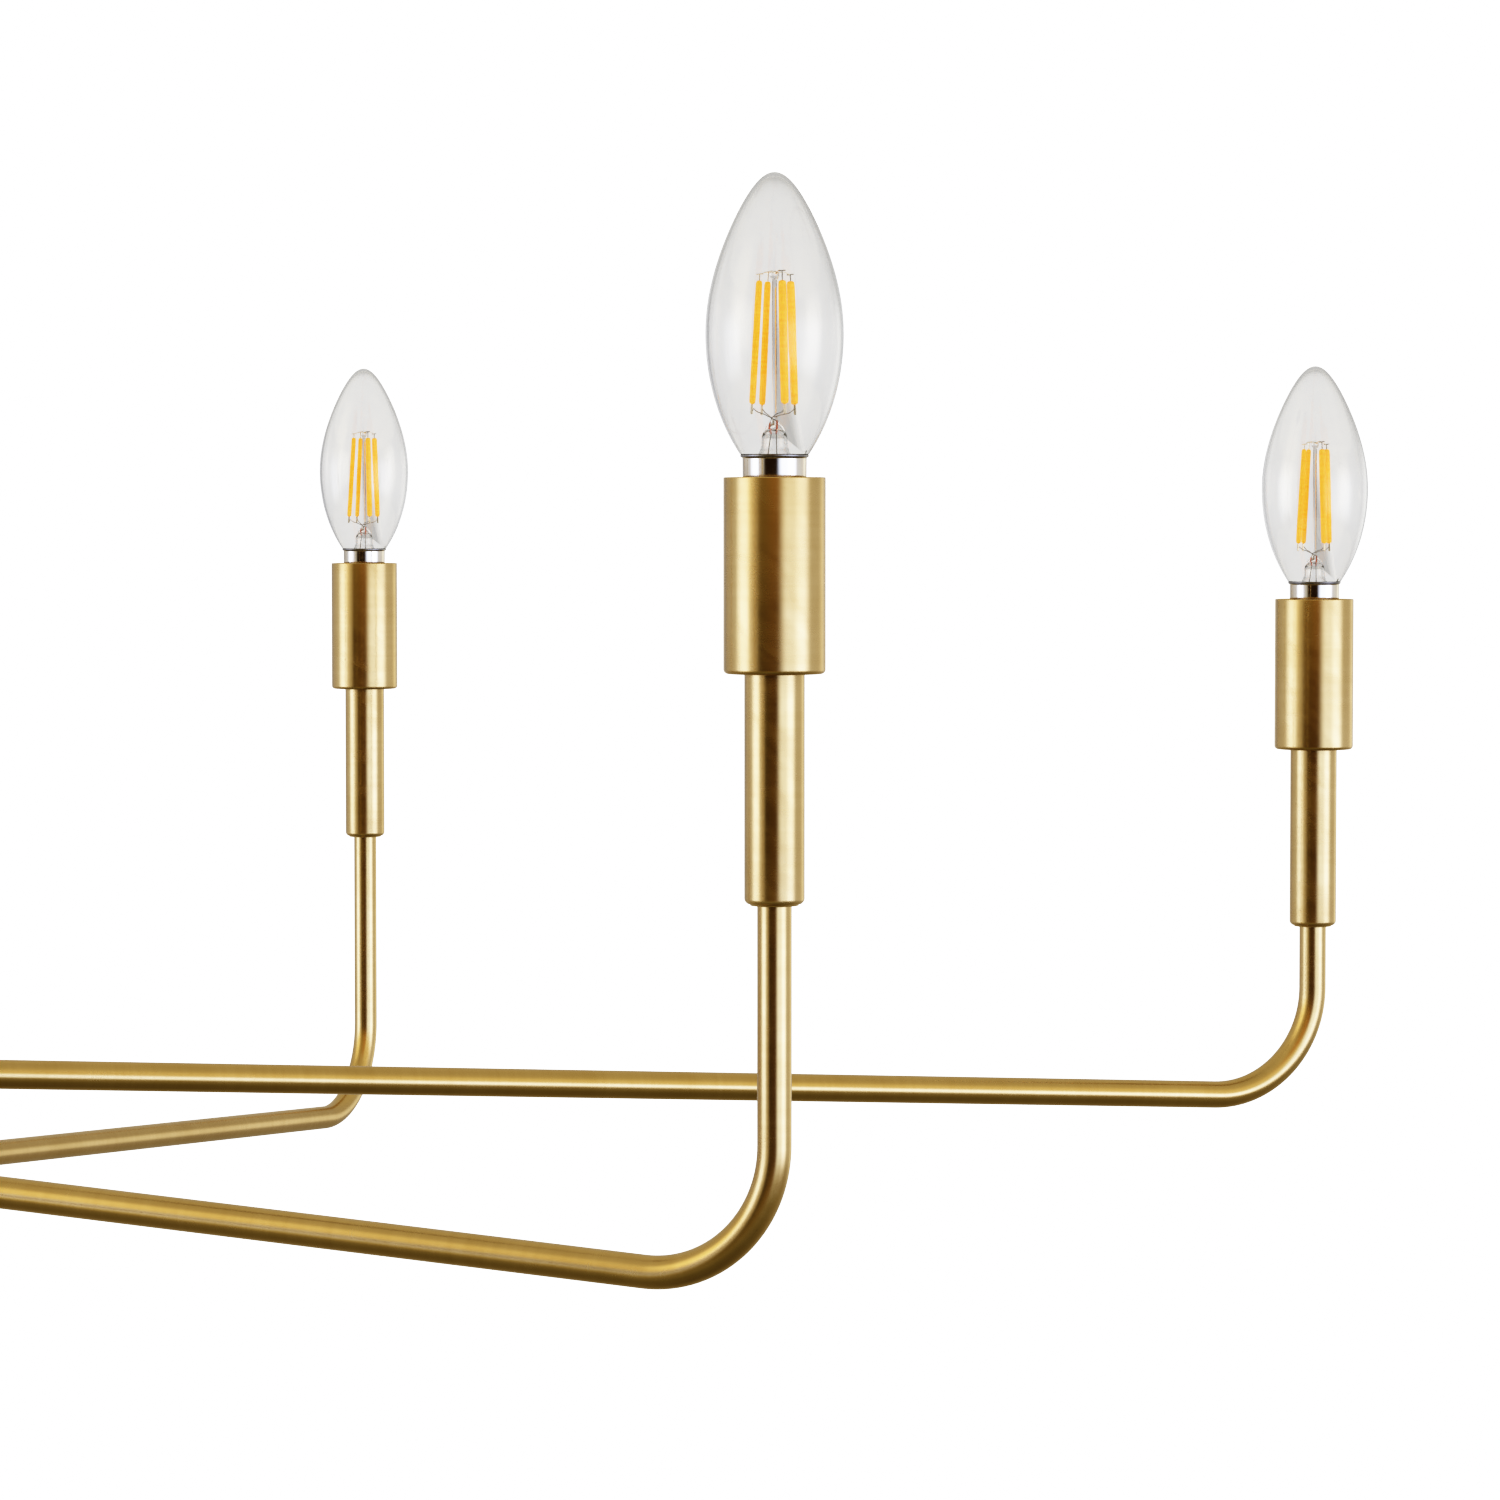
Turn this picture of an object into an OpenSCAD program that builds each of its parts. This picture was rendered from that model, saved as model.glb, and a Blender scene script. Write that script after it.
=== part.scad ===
// Multi-arm candle chandelier, millimetres, +Z up.
// The origin is the centre of the ceiling bracket's top face, where it meets the ceiling.
// Four stacked hub rings each carry two opposite arms, and every ring turns on the spindle.
// +X runs along arm_1, on the top ring.

/* [Arms] */
// Distance from the hub axis to the candle on the top and bottom rings
long_reach = 640; // [500:10:800]
// Distance from the hub axis to the candle on the two middle rings
short_reach = 440; // [320:10:480]
// Outside diameter of an arm tube
arm_d = 9; // [8:0.5:10]
// Wall of an arm tube
arm_wall = 1; // [0.8:0.1:1.4]
// Slope of every arm, down and outwards from the hub
arm_droop = 3.3; // [0:0.1:6]
// Centreline radius of the bend below a candle
bend_r = 35; // [25:1:60]

/* [Candles] */
// Diameter of the sleeve above the arm
sleeve_d = 15.7; // [13:0.1:18]
// Height of the sleeve
sleeve_h = 60; // [40:0.5:90]
// Diameter of the lampholder cup
cup_d = 26.5; // [25:0.5:32]
// Height of the lampholder cup
cup_h = 50.8; // [48:0.1:60]

/* [Bulbs] */
// Widest diameter of the candle bulb
bulb_d = 35.8; // [30:0.1:38]
// Height of the bulb's tip above the cup's rim
bulb_h = 78.5; // [60:0.5:90]
// Diameter of the bulb's screw shell
bulb_shell_d = 14; // [12:1:14]
// Diameter of the metal collar under the glass
bulb_collar_d = 16.5; // [15:0.5:20]

/* [Hub] */
// Height from one ring of arms to the next
tier_pitch = 15.2; // [13:0.1:20]
// Outside diameter of the hub rings
ring_d = 48; // [44:1:60]
// Outside diameter of the hollow spindle through the rings
spindle_d = 16; // [15:1:18]
// Travel of each ring to either side of its rest position, in degrees
ring_swing = 20; // [5:1:20]

/* [Suspension] */
// Depth of the top ring's arms below the ceiling
drop = 720; // [420:10:1500]
// Outside diameter of the down rod
rod_d = 13; // [12:0.5:14]
// Diameter of the ceiling canopy
canopy_d = 140; // [130:5:180]
// Depth of the ceiling canopy
canopy_h = 30; // [28:1:40]
// Distance between the bracket's two ceiling-screw slots
slot_spacing = 88.9; // [80:0.1:90]
// Distance between the two studs that hold the canopy
stud_spacing = 112; // [110:1:116]

/* [Hidden] */
$fn = 64;
eps = 0.01;

// clearances
run_gap = 0.05; // radial, between a turning part and its shaft
face_gap = 0.3; // between flat faces that move past each other
washer_h = 0.4;

// what each ring carries, from the top ring down
ring_turn = [0, -45, 90, 45];
ring_reach = [long_reach, short_reach, short_reach, long_reach];
candle_z = [21, 59, 49, 30]; // underside of the sleeves above the top ring's arms
ring_h = tier_pitch - washer_h - 2 * face_gap;
arm_root = 12; // radius where an arm's end seats inside its ring
bend_seam = 0.5; // half the width of the ring where an arm's bend starts
bend_seam_proud = 0.03;
ring_chamfer = 0.8;
ring_way_r = 2; // the hole a lead takes through the ring

// arms and leads
arm_r = arm_d / 2;
riser_grip = 12; // length of riser inside the sleeve
lead_r = 0.95;
lead_bundle_r = 5.2; // the eight leads run down inside the spindle on this circle
lead_bend_r = 3;

// candles
sleeve_wall = 1.5;
sleeve_chamfer = 0.8;
sleeve_head = 2; // solid under the nipple
nipple_r = 5;
nipple_grip = 8;
cup_floor = 2.5;
cup_wall = 1;
cup_corner_r = 1.2;
cup_rim_chamfer = 0.3;
socket_r = 10.6;
socket_fit = 0.2; // radial, round the bulb's shell
socket_entry_r = lead_r + 1.4;
socket_top = 44; // above the cup's underside
socket_web = [6, 14]; // solid between the lead's entry and the bulb's contact
bulb_foot = 19; // bulb's lowest point above the cup's underside
bulb_contact_r = 4;
bulb_contact_h = 2;
bulb_insulator_h = 3;
collar_from = socket_top + 1;
collar_above_rim = 5.9;
glass_wall = 0.8;
glass_widest = 37; // height of the widest place above the cup's rim

// suspension, heights down from the ceiling
bracket_h = 3;
bracket_w = 25;
bracket_nut_r = 9.8; // to its corners
bracket_nut_h = 5;
earth_x = -22;
earth_head_r = 4;
earth_head_h = 2.6;
bracket_l = stud_spacing + 12;
slot_r = 2.4;
slot_l = 12;
stud_r = 2;
stud_l = canopy_h + 6;
canopy_wall = 1.2;
canopy_corner_r = 8;
canopy_nut_foot_r = 5.5;
canopy_nut_foot_h = 4;
canopy_nut_neck_h = 3;
canopy_nut_dome_r = 4.5;
hang_r = 5; // hollow threaded nipple that carries the lamp
hang_bore_r = 3.5;
hang_top = 0.5; // the nipple stops this short of the ceiling
hang_l = canopy_h + 11;
swivel_r = 13;
swivel_top = canopy_h;
swivel_cavity_top = swivel_top + 10;
swivel_cavity_r = 10;
retainer_top = swivel_top + 20;
retainer_h = 4;
retainer_spigot = 2;
neck_r = 7;
neck_flange_r = 9.5;
neck_flange_h = 3.7;
yoke_bore_r = 4;
bridge_top = retainer_top + retainer_h + face_gap;
bridge_bottom = bridge_top + 5.7;
pivot_z = -(bridge_bottom + 14);
ear_in = 9.5;
ear_r = 8;
pin_r = 2.5;
pin_from = 5; // the pins' inner ends, out from the axis
pin_head_r = 4;
pin_head_h = 2;
knuckle_r = 8;
knuckle_bore_r = 3.8;
knuckle_up = 8; // height of the knuckle above the pivot
knuckle_mouth_r = 6.7; // the bore opens upwards to this, clear of the cable as the knuckle tilts
rod_top = -pivot_z + 10;
rod_socket = 12;
rod_socket_wall = 2.5;
rod_wall = 1.5;
rod_grip = 14; // length of rod inside the spindle
cable_r = 2.2;
cable_flex = 1.2; // each cable stops this short of the pivot, where it bends
cable_bend_r = 5;
cable_exit = 17; // depth of the side hole in the nipple
cable_exit_r = 3;
block_from = 14; // the terminal block's near face
block_size = [22, 14, 18];
block_way = 3.5; // each wire's way, out from the middle of the block
block_entry_r = 2;
block_entry_from = 12; // from the near face
block_screw_r = 1.6;
block_screw_from = 17; // from the near face
block_screw_depth = 3;

// hub, heights as z
stack_top = -drop + ring_h / 2 + tier_pitch - ring_h;
stack_bottom = tier_z(3) - ring_h / 2 - (tier_pitch - ring_h);
spindle_top = stack_top + 22;
spindle_bottom = stack_bottom - 12.3;
spindle_bore_r = rod_d / 2;
window_h = 5;
window_below = 3; // below the arms' height
window_spare = 10; // degrees beyond the ring's travel
washer_inset = 6;
cap_rim = 3;
cap_round = 14;
clamp_nut_r = 20;
clamp_nut_h = 8.2;
bowl_round = 16;
bowl_straight = 16.6;
bowl_foot_r = ring_d / 2 - bowl_round;
bowl_wall = 4;
splice_r = 9;
splice_h = 11.2;
splice_top = spindle_bottom - 2.8;
bowl_bottom = stack_bottom - bowl_straight - bowl_round;
finial_plate_r = 9;
finial_plate_h = 3;
finial_neck_r = 4;
finial_neck_h = 6;
finial_ball_r = 9;
finial_ball_sink = 3; // how far the neck runs into the ball
finial_stud_r = 3;

function tier_z(t) = -drop - t * tier_pitch;
function tier(arm) = floor((arm - 1) / 2);
function azimuth(arm) = ring_turn[tier(arm)] + 180 * ((arm - 1) % 2);

// round stretch of an outline, from angle a to angle b about a centre
function arc(centre, r, a, b, steps = 12) =
    [for (i = [0:steps]) centre + r * [cos(a + (b - a) * i / steps), sin(a + (b - a) * i / steps)]];

// radius of the bulb's glass at a height above the cup's rim, less an inset for its inner face
function bulb_above(t) = sqrt(max(0, 1 - pow(t, 2))) * (1 - 0.41 * pow(t, 2) + 0.12 * pow(t, 4));
function bulb_below(t) = 1 - 0.43 * pow(t, 2) - 0.07 * pow(t, 4);
function bulb_radius(z, inset) = (bulb_d / 2 - inset) * (z > glass_widest
    ? bulb_above((z - glass_widest) / (bulb_h - inset - glass_widest))
    : bulb_below((glass_widest - z) / (glass_widest - collar_above_rim)));
function bulb_outline(inset, steps = 20) = concat(
    [for (i = [0:steps])
        let (z = collar_above_rim + (glass_widest - collar_above_rim) * i / steps)
        [bulb_radius(z, inset), z]],
    [for (i = [1:steps - 1])
        let (z = glass_widest + (bulb_h - inset - glass_widest) * sin(90 * i / steps))
        [bulb_radius(z, inset), z]],
    [[0, bulb_h - inset]]);

// a cylinder that starts at a depth below the ceiling and runs down
module down(depth, h, r) {
    translate([0, 0, -depth - h]) cylinder(r = r, h = h);
}

// a straight tube from the origin along +Z
module tube(r, bore, h) {
    difference() {
        cylinder(r = r, h = h);
        translate([0, 0, -1]) cylinder(r = bore, h = h + 2);
    }
}

// height of the bend's centre above the hub end of an arm
function bend_z(reach) = (bend_r - (reach - bend_r) * sin(arm_droop)) / cos(arm_droop);
// length of the straight stretch from the hub axis to the bend
function straight_l(reach) = (reach - bend_r) * cos(arm_droop) - bend_z(reach) * sin(arm_droop);

// a round wire in the XZ plane, swept along [x, z] points as one closed skin
module wire(points, r, sides = 8) {
    last = len(points) - 1;
    heading = [for (i = [0:last])
        let (along = points[min(i + 1, last)] - points[max(i - 1, 0)]) along / norm(along)];
    skin = [for (i = [0:last], k = [0:sides - 1])
        let (across = r * cos(360 * k / sides))
        [points[i][0] - heading[i][1] * across, r * sin(360 * k / sides),
            points[i][1] + heading[i][0] * across]];
    walls = [for (i = [0:last - 1], k = [0:sides - 1])
        let (a = i * sides + k, b = i * sides + (k + 1) % sides)
        each [[a, b, b + sides], [a, b + sides, a + sides]]];
    polyhedron(skin, concat(walls,
        [[for (k = [sides - 1:-1:0]) k]], [[for (k = [0:sides - 1]) last * sides + k]]));
}

// places children at an arm's hub end, with +X outwards along the arm
module at_arm(arm) {
    translate([0, 0, tier_z(tier(arm))]) rotate([0, 0, azimuth(arm)]) children();
}

// places children on both candles of a ring, at the height where the sleeves start
module on_candles(t) {
    for (side = [0, 180])
        rotate([0, 0, ring_turn[t] + side]) translate([ring_reach[t], 0, candle_z[t] - drop])
            children();
}

// ---- ceiling ----

module ceiling_bracket() {
    color("silver") difference() {
        translate([-bracket_l / 2, -bracket_w / 2, -bracket_h]) cube([bracket_l, bracket_w, bracket_h]);
        for (side = [-1, 1]) {
            translate([side * slot_spacing / 2, 0, 0]) slot_cut();
            translate([side * stud_spacing / 2, 0, 0]) down(-1, bracket_h + 2, stud_r);
        }
        translate([earth_x, 0, 0]) down(-1, bracket_h + 2, stud_r);
        down(-1, bracket_h + 2, hang_r);
    }
}

module slot_cut() {
    half = slot_l / 2 - slot_r;
    for (end = [-half, half]) translate([end, 0, 0]) down(-1, bracket_h + 2, slot_r);
    translate([-half, -slot_r, -bracket_h - 1]) cube([2 * half, 2 * slot_r, bracket_h + 2]);
}

module canopy_studs() {
    color("silver") for (side = [-1, 1])
        translate([side * stud_spacing / 2, 0, 0]) down(0, stud_l, stud_r);
}

module canopy() {
    outer = canopy_d / 2;
    inner = outer - canopy_wall;
    flat = outer - canopy_corner_r;
    color("goldenrod") difference() {
        rotate_extrude($fn = 128) polygon(concat(
            [[inner, 0], [outer, 0]],
            arc([flat, canopy_corner_r - canopy_h], canopy_corner_r, 0, -90),
            [[hang_r, -canopy_h], [hang_r, canopy_wall - canopy_h]],
            arc([flat, canopy_corner_r - canopy_h], canopy_corner_r - canopy_wall, -90, 0)));
        for (side = [-1, 1])
            translate([side * stud_spacing / 2, 0, 0]) down(canopy_h - 4, 6, stud_r + 0.2);
    }
}

module canopy_nuts() {
    color("goldenrod") for (side = [-1, 1]) translate([side * stud_spacing / 2, 0, -canopy_h])
        difference() {
            union() {
                down(0, canopy_nut_foot_h, canopy_nut_foot_r);
                down(canopy_nut_foot_h, canopy_nut_neck_h, canopy_nut_dome_r);
                translate([0, 0, -canopy_nut_foot_h - canopy_nut_neck_h]) intersection() {
                    sphere(r = canopy_nut_dome_r);
                    down(0, canopy_nut_dome_r + 0.5, canopy_nut_dome_r + 0.5);
                }
            }
            down(-1, stud_l - canopy_h + 1, stud_r);
        }
}

module hanging_nipple() {
    color("silver") difference() {
        down(hang_top, hang_l - hang_top, hang_r);
        down(0, hang_l + 1, hang_bore_r);
        translate([0, 0, -cable_exit]) rotate([0, 90, 0])
            cylinder(r = cable_exit_r, h = hang_r + 1);
    }
}

module bracket_nut() {
    color("silver") translate([0, 0, -bracket_h - bracket_nut_h]) difference() {
        cylinder(r = bracket_nut_r, h = bracket_nut_h, $fn = 6);
        translate([0, 0, -1]) cylinder(r = hang_r, h = bracket_nut_h + 2);
    }
}

module terminal_block() {
    color("ivory") difference() {
        translate([block_from, -block_size[1] / 2, -bracket_h - block_size[2]]) cube(block_size);
        for (side = [-1, 1]) {
            // wire entries on the far face and clamp screws under the block
            translate([block_from + block_entry_from, side * block_way, -cable_exit])
                rotate([0, 90, 0]) cylinder(r = block_entry_r, h = block_size[0]);
            translate([block_from + block_screw_from, side * block_way, 0])
                down(bracket_h + block_size[2] - block_screw_depth, block_screw_depth + 1,
                    block_screw_r);
        }
    }
}

module earth_screw() {
    color("silver") translate([earth_x, 0, 0]) {
        down(0, bracket_h, stud_r);
        down(bracket_h, earth_head_h, earth_head_r);
    }
}

module supply_cable() {
    turn = [cable_bend_r, -cable_exit - cable_bend_r];
    color("dimgray") wire(concat(
        [[0, pivot_z + cable_flex]],
        arc(turn, cable_bend_r, 180, 90, 8),
        [[block_from, -cable_exit]]), cable_r, 12);
}

// ---- hang-straight swivel ----

module swivel_body() {
    color("goldenrod") difference() {
        down(swivel_top, retainer_top - swivel_top, swivel_r);
        down(swivel_top - 1, swivel_cavity_top - swivel_top + 2, hang_r);
        down(swivel_cavity_top, retainer_top, swivel_cavity_r);
    }
}

module swivel_retainer() {
    color("goldenrod") difference() {
        union() {
            down(retainer_top, retainer_h, swivel_r);
            down(retainer_top - retainer_spigot, retainer_spigot + 1, swivel_cavity_r);
        }
        down(swivel_top, retainer_top, neck_r + run_gap);
    }
}

module swivel_yoke() {
    flange_bottom = retainer_top - retainer_spigot - face_gap;
    color("goldenrod") difference() {
        union() {
            down(flange_bottom - neck_flange_h, neck_flange_h, neck_flange_r);
            down(flange_bottom, bridge_top - flange_bottom, neck_r);
            down(bridge_top, bridge_bottom - bridge_top, swivel_r);
            intersection() {
                translate([-swivel_r, 0, pivot_z]) rotate([0, 90, 0]) union() {
                    cylinder(r = ear_r, h = 2 * swivel_r);
                    translate([pivot_z + bridge_top + 1, -ear_r, 0])
                        cube([-pivot_z - bridge_top - 1, 2 * ear_r, 2 * swivel_r]);
                }
                union() for (side = [-1, 1])
                    translate([side > 0 ? ear_in : -swivel_r, -ear_r, pivot_z - ear_r - 1])
                        cube([swivel_r - ear_in, 2 * ear_r, -pivot_z + ear_r]);
            }
        }
        down(swivel_top, bridge_bottom, yoke_bore_r);
        translate([-swivel_r - 1, 0, pivot_z]) rotate([0, 90, 0])
            cylinder(r = pin_r, h = 2 * swivel_r + 2);
    }
}

module swivel_pins() {
    color("silver") for (side = [-1, 1]) translate([0, 0, pivot_z]) rotate([0, side * 90, 0]) {
        translate([0, 0, pin_from]) cylinder(r = pin_r, h = swivel_r - pin_from);
        translate([0, 0, swivel_r]) cylinder(r = pin_head_r, h = pin_head_h);
    }
}

module swivel_knuckle() {
    color("goldenrod") difference() {
        union() {
            translate([0, 0, -rod_top]) cylinder(r = knuckle_r, h = rod_top + pivot_z + knuckle_up);
            down(rod_top, rod_socket, rod_d / 2 + rod_socket_wall);
        }
        down(0, rod_top + 1, knuckle_bore_r);
        translate([0, 0, pivot_z])
            cylinder(r1 = knuckle_bore_r, r2 = knuckle_mouth_r, h = knuckle_up + eps);
        down(rod_top, rod_socket + 1, rod_d / 2);
        translate([-20, 0, pivot_z]) rotate([0, 90, 0]) cylinder(r = pin_r + run_gap, h = 40);
    }
}

// ---- stem and hub core ----

module down_rod() {
    bottom = spindle_top - rod_grip;
    color("goldenrod") translate([0, 0, bottom])
        tube(rod_d / 2, rod_d / 2 - rod_wall, -rod_top - bottom);
}

module feed_cable() {
    color("dimgray") translate([0, 0, splice_top])
        cylinder(r = cable_r, h = pivot_z - cable_flex - splice_top);
}

module hub_cap() {
    edge = ring_d / 2;
    color("goldenrod") rotate_extrude($fn = 96) polygon(concat(
        [[spindle_d / 2, stack_top], [edge, stack_top]],
        arc([edge - cap_round, stack_top + cap_rim], cap_round, 0, 90),
        [[spindle_d / 2, stack_top + cap_rim + cap_round]]));
}

module spindle() {
    color("silver") difference() {
        translate([0, 0, spindle_bottom])
            tube(spindle_d / 2, spindle_bore_r, spindle_top - spindle_bottom);
        // the windows let each ring's leads swing with it
        for (t = [0:3], side = [0, 180])
            translate([0, 0, tier_z(t) - window_below]) rotate([0, 0, ring_turn[t] + side])
                linear_extrude(window_h) polygon([[0, 0], for (a = [-1, 1] * (ring_swing + window_spare))
                    spindle_d * [cos(a), sin(a)]]);
    }
}

module tier_washers() {
    color("white") for (gap = [0:4])
        translate([0, 0, stack_top - gap * tier_pitch - face_gap - washer_h]) difference() {
            cylinder(r = ring_d / 2 - washer_inset, h = washer_h);
            translate([0, 0, -1]) cylinder(r = spindle_d / 2, h = 2);
        }
}

module clamp_nut() {
    color("silver") difference() {
        translate([0, 0, stack_bottom - clamp_nut_h]) cylinder(r = clamp_nut_r, h = clamp_nut_h);
        translate([0, 0, stack_bottom - clamp_nut_h - 1]) cylinder(r = spindle_d / 2, h = clamp_nut_h + 2);
    }
}

module splice_block() {
    color("ivory") translate([0, 0, splice_top - splice_h]) cylinder(r = splice_r, h = splice_h);
}

module splice_bowl() {
    edge = ring_d / 2;
    centre = [bowl_foot_r, stack_bottom - bowl_straight];
    color("goldenrod") rotate_extrude($fn = 96) polygon(concat(
        [[clamp_nut_r, stack_bottom], [edge, stack_bottom]],
        arc(centre, bowl_round, 0, -90),
        [[finial_stud_r, bowl_bottom], [finial_stud_r, bowl_bottom + bowl_wall]],
        arc(centre, bowl_round - bowl_wall, -90, 0)));
}

module finial() {
    neck_bottom = bowl_bottom - finial_plate_h - finial_neck_h;
    color("goldenrod") {
        translate([0, 0, bowl_bottom]) cylinder(r = finial_stud_r, h = bowl_wall);
        translate([0, 0, bowl_bottom - finial_plate_h])
            cylinder(r = finial_plate_r, h = finial_plate_h);
        translate([0, 0, neck_bottom]) cylinder(r = finial_neck_r, h = finial_neck_h);
        translate([0, 0, neck_bottom + finial_ball_sink - finial_ball_r]) sphere(r = finial_ball_r);
    }
}

// ---- rings and arms ----

module ring(t) {
    edge = ring_d / 2;
    half = ring_h / 2;
    color("goldenrod") translate([0, 0, tier_z(t)]) rotate([0, 0, ring_turn[t]]) difference() {
        rotate_extrude($fn = 96) polygon([
            [spindle_d / 2 + run_gap, -half], [edge - ring_chamfer, -half],
            [edge, ring_chamfer - half], [edge, half - ring_chamfer],
            [edge - ring_chamfer, half], [spindle_d / 2 + run_gap, half]]);
        for (side = [0, 180]) rotate([0, 0, side]) rotate([0, 90 + arm_droop, 0]) {
            translate([0, 0, arm_root]) cylinder(r = arm_r, h = edge);
            translate([0, 0, spindle_d / 4]) cylinder(r = ring_way_r, h = arm_root);
        }
    }
}

module arm(i) {
    reach = ring_reach[tier(i)];
    riser_top = candle_z[tier(i)] + tier(i) * tier_pitch + riser_grip;
    bore = arm_r - arm_wall;
    color("goldenrod") at_arm(i) {
        rotate([0, 90 + arm_droop, 0]) {
            translate([0, 0, arm_root]) tube(arm_r, bore, straight_l(reach) - arm_root - bend_seam / 2);
            // the faint ring where the bend starts
            translate([0, 0, straight_l(reach) - bend_seam])
                tube(arm_r + bend_seam_proud, bore - bend_seam_proud, 2 * bend_seam);
        }
        translate([reach - bend_r, 0, bend_z(reach)]) rotate([90, 0, 0])
            rotate_extrude(angle = -90 - arm_droop) translate([bend_r, 0]) difference() {
                circle(r = arm_r);
                circle(r = bore);
            }
        translate([reach, 0, bend_z(reach)]) tube(arm_r, bore, riser_top - bend_z(reach));
    }
}

module leads(t) {
    // each lead comes down the riser and in along the arm, then turns down inside the spindle
    reach = ring_reach[t];
    lead_top = candle_z[t] + t * tier_pitch + sleeve_h + socket_web[0];
    inner_x = lead_bundle_r + lead_bend_r;
    inner_turn = [inner_x, -(lead_bend_r + inner_x * sin(arm_droop)) / cos(arm_droop)];
    route = concat(
        [[reach, lead_top]],
        arc([reach - bend_r, bend_z(reach)], bend_r, 0, -90 - arm_droop),
        arc(inner_turn, lead_bend_r, 90 - arm_droop, 180, 6),
        [[lead_bundle_r, splice_top + face_gap - tier_z(t)]]);
    color("ivory") for (i = [2 * t + 1, 2 * t + 2]) at_arm(i) wire(route, lead_r);
}

// ---- candles ----

module sleeves(t) {
    r = sleeve_d / 2;
    head_bottom = sleeve_h - nipple_grip - sleeve_head;
    color("goldenrod") on_candles(t) rotate_extrude() polygon([
        [arm_r, 0], [r - sleeve_chamfer, 0], [r, sleeve_chamfer], [r, sleeve_h], [nipple_r, sleeve_h],
        [nipple_r, head_bottom], [r - sleeve_wall, head_bottom],
        [r - sleeve_wall, riser_grip], [arm_r, riser_grip]]);
}

module cups(t) {
    r = cup_d / 2;
    color("goldenrod") on_candles(t) translate([0, 0, sleeve_h]) rotate_extrude() polygon(concat(
        [[nipple_r, 0]],
        arc([r - cup_corner_r, cup_corner_r], cup_corner_r, -90, 0, 6),
        [[r, cup_h - cup_rim_chamfer], [r - cup_rim_chamfer, cup_h], [r - cup_wall, cup_h],
        [r - cup_wall, cup_floor], [nipple_r, cup_floor]]));
}

module sockets(t) {
    shell_r = bulb_shell_d / 2 + socket_fit;
    color("ivory") on_candles(t) translate([0, 0, sleeve_h]) rotate_extrude() polygon([
        [socket_entry_r, -nipple_grip], [nipple_r, -nipple_grip], [nipple_r, cup_floor],
        [socket_r, cup_floor], [socket_r, socket_top], [shell_r, socket_top],
        [shell_r, socket_web[1]], [0, socket_web[1]], [0, socket_web[0]],
        [socket_entry_r, socket_web[0]]]);
}

module bulb(i) {
    t = tier(i);
    shell_r = bulb_shell_d / 2;
    neck = cup_h + collar_above_rim;
    rotate([0, 0, azimuth(i)]) translate([ring_reach[t], 0, candle_z[t] - drop + sleeve_h]) {
        color("silver") rotate_extrude() polygon([
            [0, bulb_foot], [bulb_contact_r, bulb_foot], [bulb_contact_r, bulb_foot + bulb_contact_h],
            [shell_r, bulb_foot + bulb_contact_h + bulb_insulator_h],
            [shell_r, collar_from], [bulb_collar_d / 2, collar_from], [bulb_collar_d / 2, neck],
            [0, neck]]);
        color("whitesmoke", 0.4) translate([0, 0, cup_h]) rotate_extrude() difference() {
            polygon(concat([[0, collar_above_rim]], bulb_outline(0)));
            translate([0, -eps]) polygon(concat([[0, collar_above_rim]], bulb_outline(glass_wall)));
        }
    }
}

RINGS = [1:4];
ARMS = [1:8];

ceiling_bracket();
canopy_studs();
canopy();
canopy_nuts();
hanging_nipple();
bracket_nut();
terminal_block();
earth_screw();
supply_cable();
swivel_body();
swivel_retainer();
swivel_yoke();
swivel_pins();
swivel_knuckle();
down_rod();
feed_cable();
hub_cap();
spindle();
tier_washers();
clamp_nut();
splice_block();
splice_bowl();
finial();
for (t = RINGS) {
    ring(t - 1);
    leads(t - 1);
    sleeves(t - 1);
    cups(t - 1);
    sockets(t - 1);
}
for (i = ARMS) {
    arm(i);
    bulb(i);
}
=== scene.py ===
from math import cos, exp, pi, radians, sin, sqrt, tau

import bpy
from mathutils import Euler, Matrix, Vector


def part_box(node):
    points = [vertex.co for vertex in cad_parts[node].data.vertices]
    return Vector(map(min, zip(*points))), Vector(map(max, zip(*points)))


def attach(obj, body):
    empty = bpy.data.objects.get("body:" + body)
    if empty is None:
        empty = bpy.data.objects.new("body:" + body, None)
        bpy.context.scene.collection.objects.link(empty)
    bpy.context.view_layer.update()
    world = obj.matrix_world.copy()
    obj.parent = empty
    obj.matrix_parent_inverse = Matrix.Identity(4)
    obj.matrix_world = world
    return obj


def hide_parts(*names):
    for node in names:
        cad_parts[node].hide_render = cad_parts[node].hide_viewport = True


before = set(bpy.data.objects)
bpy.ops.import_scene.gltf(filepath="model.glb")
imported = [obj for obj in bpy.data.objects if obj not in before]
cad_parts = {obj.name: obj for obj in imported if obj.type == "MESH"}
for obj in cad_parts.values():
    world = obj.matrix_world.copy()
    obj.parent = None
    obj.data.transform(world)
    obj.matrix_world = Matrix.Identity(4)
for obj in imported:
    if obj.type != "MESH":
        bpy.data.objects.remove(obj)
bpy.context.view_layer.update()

# The chandelier's looks: turned and bent pieces with rounded edges in place of the plain CAD solids,
# procedural metals, glass and plastics, a studio to reflect, and the camera.
# Lengths are in metres. Outlines are written in millimetres and pass through MM.
# Colours are (red, green, blue).

MM = 0.001

# the arms, as the design states them
ARM_R = 4.5 * MM
ARM_DROOP = radians(3.3)
ARM_BEND_R = 35 * MM
ARM_ROOT = 12 * MM
RISER_GRIP = 12 * MM

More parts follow.
